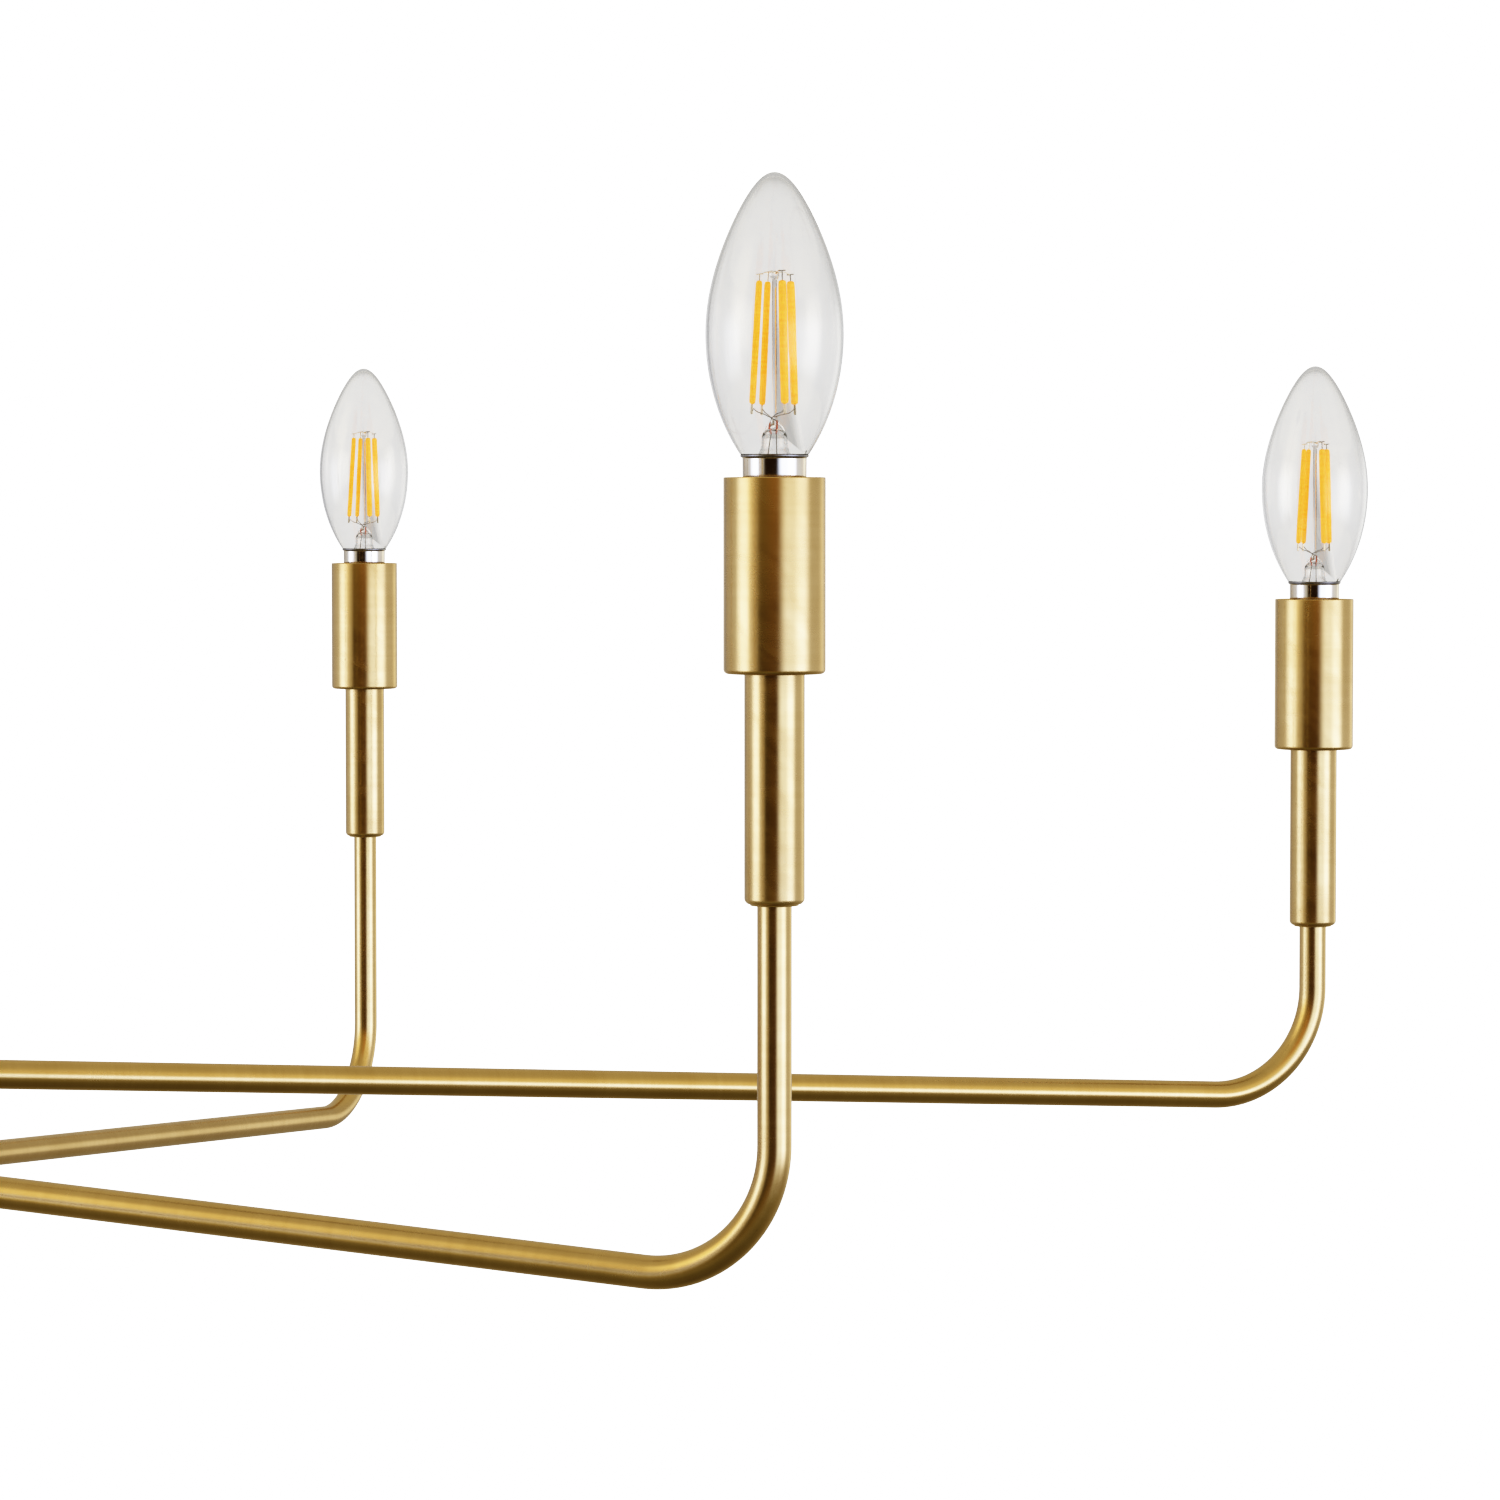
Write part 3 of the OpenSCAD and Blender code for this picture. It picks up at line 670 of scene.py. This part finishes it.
def cups(t):
    """The cups round the lampholders, with a round lower corner and a thin wall."""
    node = f"cups_{t}"
    h = height_of(node)
    corner_r, wall, bore_r, base = 1.2, 1.0, 5.0, 2.5
    profile = [(bore_r, 0.0, 0.0), (CUP_R - 1.6, 0.0, 0.0)]
    profile += arc(CUP_R - corner_r, corner_r, corner_r, -90, 0, 8)
    profile += outline([(CUP_R, 1.6, 0), (CUP_R, h, 0.3), (CUP_R - wall, h, 0.3),
                        (CUP_R - wall, base, 0.3), (bore_r, base, 0)])
    candle_pair(f"cup_pair_{t}", t, node, profile, (BRASS, "brass"), 96, shift=0.2)


def lampholders(t):
    """The lampholders' bodies, open at the top and closed by a floor."""
    bore_r, floor_foot, floor_top, top = 7.2, 10.5, 16, 52
    profile = outline([(0, floor_foot, 0), (SOCKET_R, floor_foot, 0), (SOCKET_R, top, 0.6),
                       (bore_r, top, 0.4), (bore_r, floor_top, 0), (0, floor_top, 0)])
    candle_pair(f"lampholder_pair_{t}", t, f"sockets_{t}", profile, (LAMPHOLDER, "phenolic"), 64,
                closed=False)


# ---- bulbs ----
# Heights in a bulb are in millimetres above its cup's rim.

# the filaments are placed across the camera's view and deep into it
ACROSS = Vector((cos(radians(-CAMERA_TURN)), sin(radians(-CAMERA_TURN)), 0))
DEEP = Vector((-ACROSS.y, ACROSS.x, 0))
FILAMENT_TOP = 50.4
FILAMENT_FOOT = 19.0

THREAD_R = 6.6
THREAD_PITCH = 2.6
THREAD_DEPTH = 0.38
THREAD_TOP = -7.5


def bulb_part(skin, name, arm, material):
    skin.build(f"bulb_{name}_{arm}", f"lamp_{arm}", material, "bulb_glass", f"bulb_{arm}")


def glass_radius(z, top, inset):
    """The bulb's radius at a height: it narrows from its widest place to the neck and to the tip."""
    if z > BULB_WIDEST:
        t = min((z - BULB_WIDEST) / (top - inset - BULB_WIDEST), 1.0)
        return (BULB_R - inset) * sqrt(1 - t ** 2) * (1 - 0.41 * t ** 2 + 0.12 * t ** 4)
    t = (BULB_WIDEST - z) / (BULB_WIDEST - BULB_NECK)
    return (BULB_R - inset) * (1 - 0.43 * t ** 2 - 0.07 * t ** 4)


def glass_profile(top, inset, steps=28):
    lower = [BULB_NECK + (BULB_WIDEST - BULB_NECK) * i / steps for i in range(steps)]
    upper = [BULB_WIDEST + (top - inset - BULB_WIDEST) * sin(pi / 2 * i / steps) for i in range(steps)]
    return [(glass_radius(z, top, inset), z, 0.0) for z in lower + upper] + [(0.0, top - inset, 0.0)]


def bulb_glass(arm, rim, top):
    """The envelope, and in it the stem: a hollow foot pinched to a rod, with a bead on top that holds
    the filaments' wires."""
    glass = Skin()
    envelope = glass_profile(top, 0.0) + glass_profile(top, GLASS_WALL)[::-1]
    glass.lathe(envelope, rim, 80, seed=arm, closed=True)
    stem = outline([(4.1, 5.2, 0), (4.6, 5.2, 0), (3.5, 7.6, 0.8), (3.3, 11.0, 0.8), (2.2, 13.2, 0.8),
                    (0.9, 14.8, 0.5), (0.6, 17.0, 0.5), (0.6, 50.6, 0), (1.3, 51.6, 0.4),
                    (1.2, 52.6, 0.4), (0, 53.0, 0)])
    stem += outline([(0, 12.6, 0), (1.7, 12.0, 0.6), (2.8, 10.6, 0.6), (3.0, 7.6, 0.5), (4.1, 5.2, 0)])
    glass.lathe(stem, rim, 32, seed=arm)
    bulb_part(glass, "glass", arm, GLASS)


def bulb_cap(arm, rim, foot):
    """The threaded shell and the collar above it."""
    thread_foot, gap = foot + 8, 0.26
    profile = outline([(3.6, foot + 4.6, 0), (6.2, foot + 5.2, 0.5), (THREAD_R, foot + 7, 0.4)])
    profile += [(THREAD_R, thread_foot + gap * i, 0.0) for i in range(int((THREAD_TOP - thread_foot) / gap))]
    profile += outline([(THREAD_R, -7, 0.3), (8.25, -5.4, 0.5), (8.35, 4.9, 0.15), (8.6, 5.1, 0),
                        (7.9, 5.2, 0.1), (7.9, 4.6, 0), (0, 4.6, 0)])

    def thread(angle, z):
        threaded = thread_foot - 0.1 < z < THREAD_TOP + 0.1
        return THREAD_DEPTH * sin(tau * z / THREAD_PITCH - angle) if threaded else 0.0

    cap = Skin()
    cap.lathe(profile, rim, 72, seed=arm, ripple=thread)
    bulb_part(cap, "cap", arm, NICKEL)


def bulb_insulator(arm, rim, foot):
    insulator = Skin()
    insulator.lathe(outline([(0, foot + 1.2, 0), (2.2, foot + 1.2, 0), (4.4, foot + 2.4, 0.4),
                             (5.9, foot + 4.9, 0.3), (0, foot + 5.0, 0)]), rim, 40, seed=arm)
    bulb_part(insulator, "insulator", arm, INSULATOR)


def bulb_contact(arm, rim, foot):
    contact = Skin()
    contact.lathe(outline([(0, foot, 0), (1.8, foot, 0.5), (2.3, foot + 1.4, 0.3), (0, foot + 1.5, 0)]),
                  rim, 32, seed=arm)
    bulb_part(contact, "contact", arm, NICKEL)


def bulb_filaments(arm, rim):
    """Four filaments that spread downwards, with their tabs and wires and the seals in the stem."""
    rods, tabs, wires, seals = Skin(), Skin(), Skin(), Skin()
    rod_stops = [0.0, 0.008, 0.03, 0.25, 0.5, 0.75, 0.97, 0.992, 1.0]
    rod_radii = [0.5, 0.84, 0.95, 1.0, 1.0, 1.0, 0.95, 0.84, 0.5]

    def at(x, y, z):
        return rim + (ACROSS * x + DEEP * y + Vector((0, 0, z))) * MM

    def wire(skin, path, radius, steps=8):
        skin.sweep(path, [radius * MM] * len(path), steps, arm)

    pinch = at(-0.7, 0, 15.4)
    for k in range(4):
        head_turn, heel_turn = radians(24.6 + 90 * k), radians(28.2 + 90 * k)
        head = (4.4 * cos(head_turn) + 0.1, 4.4 * sin(head_turn))
        heel = (6.2 * cos(heel_turn) - 0.3, 6.2 * sin(heel_turn))
        top, foot = at(*head, FILAMENT_TOP), at(*heel, FILAMENT_FOOT)
        thickness = 1.08 if k in (0, 3) else 0.86
        rods.sweep([top.lerp(foot, stop) for stop in rod_stops], [r * MM * thickness for r in rod_radii],
                   16, arm + k * 0.21)
        # a short tab under the rod
        tabs.sweep([top.lerp(foot, stop) for stop in (1.0, 1.005, 1.08, 1.085)],
                   [r * MM for r in (0.2, 0.36, 0.36, 0.2)], 6, arm)
        # a hook with a crossbar over the rod. Hooks on the view's right join the dark wires as painted
        # shade, and hooks on its left join the bright tabs as painted highlight
        hook_skin_by_painted_light = wires if head[0] > 0 else tabs
        tip = top.lerp(foot, -0.075 if k % 2 else -0.05)
        wire(hook_skin_by_painted_light, [top, tip], 0.16)
        wire(hook_skin_by_painted_light, [tip + ACROSS * -0.9 * MM, tip + ACROSS * 0.9 * MM + Vector((0, 0, 0.2 * MM))], 0.15)
        # a thin wire from the hook to the stem's bead
        crest = tip.lerp(at(0.3, 0, 52.4), 0.5) + Vector((0, 0, 0.5 * MM))
        wire(tabs, spline([tip, crest, at(0.3, 0, 52.2)], 4), 0.09)
        # a wire from the tab in to the pinch of the stem
        wire(wires, spline([top.lerp(foot, 1.03), at(heel[0] * 0.75, heel[1] * 0.75, 16.9),
                            at(heel[0] * 0.4 - 0.5, heel[1] * 0.4, 16.4), pinch], 5), 0.12)
    # two lead wires down the stem, each broken by a red seal
    for foot_x, head_x in ((-1.9, -0.9), (0.6, 0.5)):
        wire(seals, [at(head_x, 0, 14.6), at(head_x - 0.05, 0, 11.8)], 0.2, steps=10)
        wire(wires, spline([pinch, at(head_x, 0, 14.5)], 3), 0.15)
        wire(wires, spline([at(head_x, 0, 11.9), at(head_x * 0.6 + foot_x * 0.4, 0, 9.0),
                            at(foot_x, 0, 4.7)], 5), 0.15)
    # a ring at the joint between the glass and the cap, dark in the wire metal as painted shade of the gap
    # there
    wires.lathe(outline([(7.8, 5.1, 0), (8.8, 5.15, 0.15), (8.9, 5.75, 0.2), (8.6, 5.95, 0.1),
                         (7.8, 5.9, 0)]), rim, 64, seed=arm, closed=True)
    bulb_part(rods, "filaments", arm, FILAMENT)
    bulb_part(wires, "wires", arm, WIRE_AND_PAINTED_SHADE)
    bulb_part(tabs, "tabs", arm, NICKEL)
    bulb_part(seals, "seals", arm, COPPER)


def bulb(arm, t):
    rim = candle_spot(arm) + Vector((0, 0, high(f"cups_{t}").z))
    top = (high(f"bulb_{arm}").z - rim.z) / MM
    foot = (low(f"bulb_{arm}").z - rim.z) / MM
    bulb_glass(arm, rim, top)
    bulb_cap(arm, rim, foot)
    bulb_insulator(arm, rim, foot)
    bulb_filaments(arm, rim)
    bulb_contact(arm, rim, foot)


def chandelier():
    finish_cad_parts()
    canopy()
    canopy_nuts()
    swivel()
    down_rod()
    hub_cap()
    splice_bowl()
    finial()
    for t in range(1, 5):
        hub_ring(t)
        sleeves(t)
        cups(t)
        lampholders(t)
    for t in range(1, 5):
        for arm in arms_of(t):
            arm_tube(arm, t)
            bulb(arm, t)


# ---- studio ----
# Compass is 0 towards the camera and positive to its right. Compass and height are in degrees.

SOFT_BOX = 5.0
LEFT_BOX = (0.80, 0.93, 1.33)
RIGHT_BOX = (0.93, 1.07, 1.60)
RIGHT_BOX_EDGE = (0.60, 0.71, 1.04)
SIDE = (0.25, 0.265, 0.31)
ROOM = (0.27, 0.27, 0.275)
CORNER = (0.14, 0.14, 0.15)
DIM = (0.010, 0.005, 0.002)
CEILING = (0.84, 0.78, 0.58)


def directions(nodes):
    """The compass and height that a ray looks to, and how far it looks towards the camera's side."""
    turn = radians(CAMERA_TURN)
    ray = nodes.node("ShaderNodeTexCoord").outputs["Generated"]

    def along(*way):
        return nodes.node("ShaderNodeVectorMath", {0: ray, 1: way}, operation="DOT_PRODUCT").outputs["Value"]

    front = along(-sin(turn), -cos(turn), 0)
    right = along(cos(turn), -sin(turn), 0)
    up = nodes.node("ShaderNodeSeparateXYZ", {0: ray}).outputs["Z"]
    compass = nodes.maths("MULTIPLY", nodes.maths("ARCTAN2", right, front), 180 / pi)
    height = nodes.maths("MULTIPLY", nodes.maths("ARCSINE", up), 180 / pi)
    return compass, height, front


def band(nodes, height, start, full, full_end, end):
    """1 between the two middle heights, easing to 0 at the outer ones."""
    return nodes.ramp(height, -90, 90, [
        (-90, grey(0)), (start, grey(0)), (full, grey(1)), (full_end, grey(1)), (end, grey(0)),
        (90, grey(0))])


def room_light(nodes):
    """Soft boxes to the camera's left and right, a dim gap between them, a pale room behind."""
    compass, height, front = directions(nodes)
    around = nodes.ramp(compass, -180, 180, [
        (-180, ROOM), (-168, ROOM), (-148, CORNER), (-125, (0.20, 0.20, 0.21)), (-100, SIDE),
        (-82, LEFT_BOX), (-68, LEFT_BOX), (-54, (0.25, 0.26, 0.31)), (-44, (0.19, 0.19, 0.185)),
        (-33, DIM), (5, DIM), (30, RIGHT_BOX_EDGE), (43, RIGHT_BOX_EDGE), (58, RIGHT_BOX),
        (67, RIGHT_BOX), (91, SIDE), (118, (0.25, 0.255, 0.27)), (136, (0.40, 0.40, 0.38)),
        (156, (0.20, 0.20, 0.20)), (172, ROOM), (180, ROOM)])
    boxes = nodes.node("ShaderNodeVectorMath", {0: around, "Scale": SOFT_BOX}, operation="SCALE").outputs[0]

    # the walls above and below the boxes
    before = nodes.ramp(height, -90, 90, [
        (-90, (0.22, 0.19, 0.10)), (-60, (0.28, 0.24, 0.12)), (-30, (0.44, 0.39, 0.22)),
        (14, (1.22, 1.10, 0.76)), (40, (1.10, 1.01, 0.72)), (70, (0.92, 0.86, 0.64)), (90, CEILING)])
    behind = nodes.ramp(height, -90, 90, [
        (-90, (0.26, 0.22, 0.12)), (-60, (0.40, 0.34, 0.20)), (-32, (0.62, 0.56, 0.42)),
        (-18, (0.74, 0.70, 0.62)), (22, (0.86, 0.82, 0.72)), (58, (0.98, 0.90, 0.68)), (90, CEILING)])
    walls = nodes.mix(nodes.span(front, -0.6, 0.4), behind, before)

    # around eye level the walls are brighter to the left and right than towards the camera
    sides = nodes.ramp(compass, -180, 180, [
        (-180, grey(1)), (-94, grey(1.1)), (-76, grey(2.2)), (-60, grey(2.5)), (-46, grey(1.05)),
        (-30, (0.68, 0.58, 0.38)), (4, (0.90, 0.62, 0.38)), (27, grey(1.4)), (60, grey(1.4)),
        (90, grey(1)), (180, grey(1))])
    shaded = nodes.mix(band(nodes, height, -34, -18, 26, 48), walls, sides, blend="MULTIPLY")
    return nodes.mix(band(nodes, height, -20, -8, 1, 14), shaded, boxes)


def studio():
    """The room that lights the lamp. The camera itself sees plain white behind the lamp, and through
    glass the room is a neutral grey."""
    world = bpy.data.worlds.new("studio")
    bpy.context.scene.world = world
    world.use_nodes = True
    nodes = Nodes(world.node_tree)
    nodes.tree.nodes.clear()
    light = room_light(nodes)
    path = nodes.node("ShaderNodeLightPath").outputs
    plain = nodes.node("ShaderNodeRGBToBW", {"Color": light}).outputs[0]
    toned = nodes.mix(path["Is Transmission Ray"], light, plain)
    lit = nodes.node("ShaderNodeBackground", {"Color": toned, "Strength": 1.0}).outputs[0]
    seen = nodes.node("ShaderNodeBackground", {"Color": grey(1.0), "Strength": FULL_WHITE}).outputs[0]
    shown = nodes.node("ShaderNodeMixShader", {0: path["Is Camera Ray"], 1: lit, 2: seen}).outputs[0]
    nodes.node("ShaderNodeOutputWorld", {"Surface": shown})


def floor():
    """A plain pale floor, well below the lamp."""
    rings = 30
    skin = Skin()
    skin.lathe([(FLOOR_R / MM * i / rings, 0.0, 0.0) for i in range(rings, -1, -1)],
               Vector((0, 0, FLOOR_Z)), 96)
    mesh = bpy.data.meshes.new("floor")
    mesh.from_pydata(skin.points, [], skin.faces)
    s = Shader("pale_floor", own_lay=False)
    cloud = s.noise(2.2, detail=4.0)
    s.set(Base_Color=s.mix(cloud, (0.80, 0.82, 0.88), (0.84, 0.86, 0.92)),
          Roughness=s.span(cloud, 0.3, 0.7, 0.55, 0.7), Emission_Color=grey(1.0), Emission_Strength=0.9)
    mesh.materials.append(s.material)
    ground = bpy.data.objects.new("floor", mesh)
    bpy.context.scene.collection.objects.link(ground)
    ground.visible_glossy = False


def camera():
    lens = bpy.data.cameras.new("camera")
    lens.lens = CAMERA_LENS
    lens.sensor_width = SENSOR_WIDTH
    lens.clip_start = 0.05
    lens.clip_end = 100.0
    seat = bpy.data.objects.new("camera", lens)
    seat.location = CAMERA_AT
    seat.rotation_euler = Euler((radians(90 - CAMERA_DIP), 0, radians(-CAMERA_TURN)))
    bpy.context.scene.collection.objects.link(seat)
    bpy.context.scene.camera = seat


def film():
    """The camera's response to light: deep shadows and a soft shoulder up to white."""
    settings = bpy.context.scene.view_settings
    settings.view_transform = "Standard"
    settings.use_curve_mapping = True
    mapping = settings.curve_mapping
    mapping.white_level = (FULL_WHITE,) * 3
    points = mapping.curves[3].points
    steps = 14
    crowding = 1.6  # above 1, the points stand closer together in the shadows
    contrast = 1.5
    for i in range(1, steps):
        x = (i / steps) ** crowding
        points.new(x, 1 - exp(-(x * FULL_WHITE) ** contrast))
    mapping.update()


chandelier()
studio()
floor()
camera()
film()
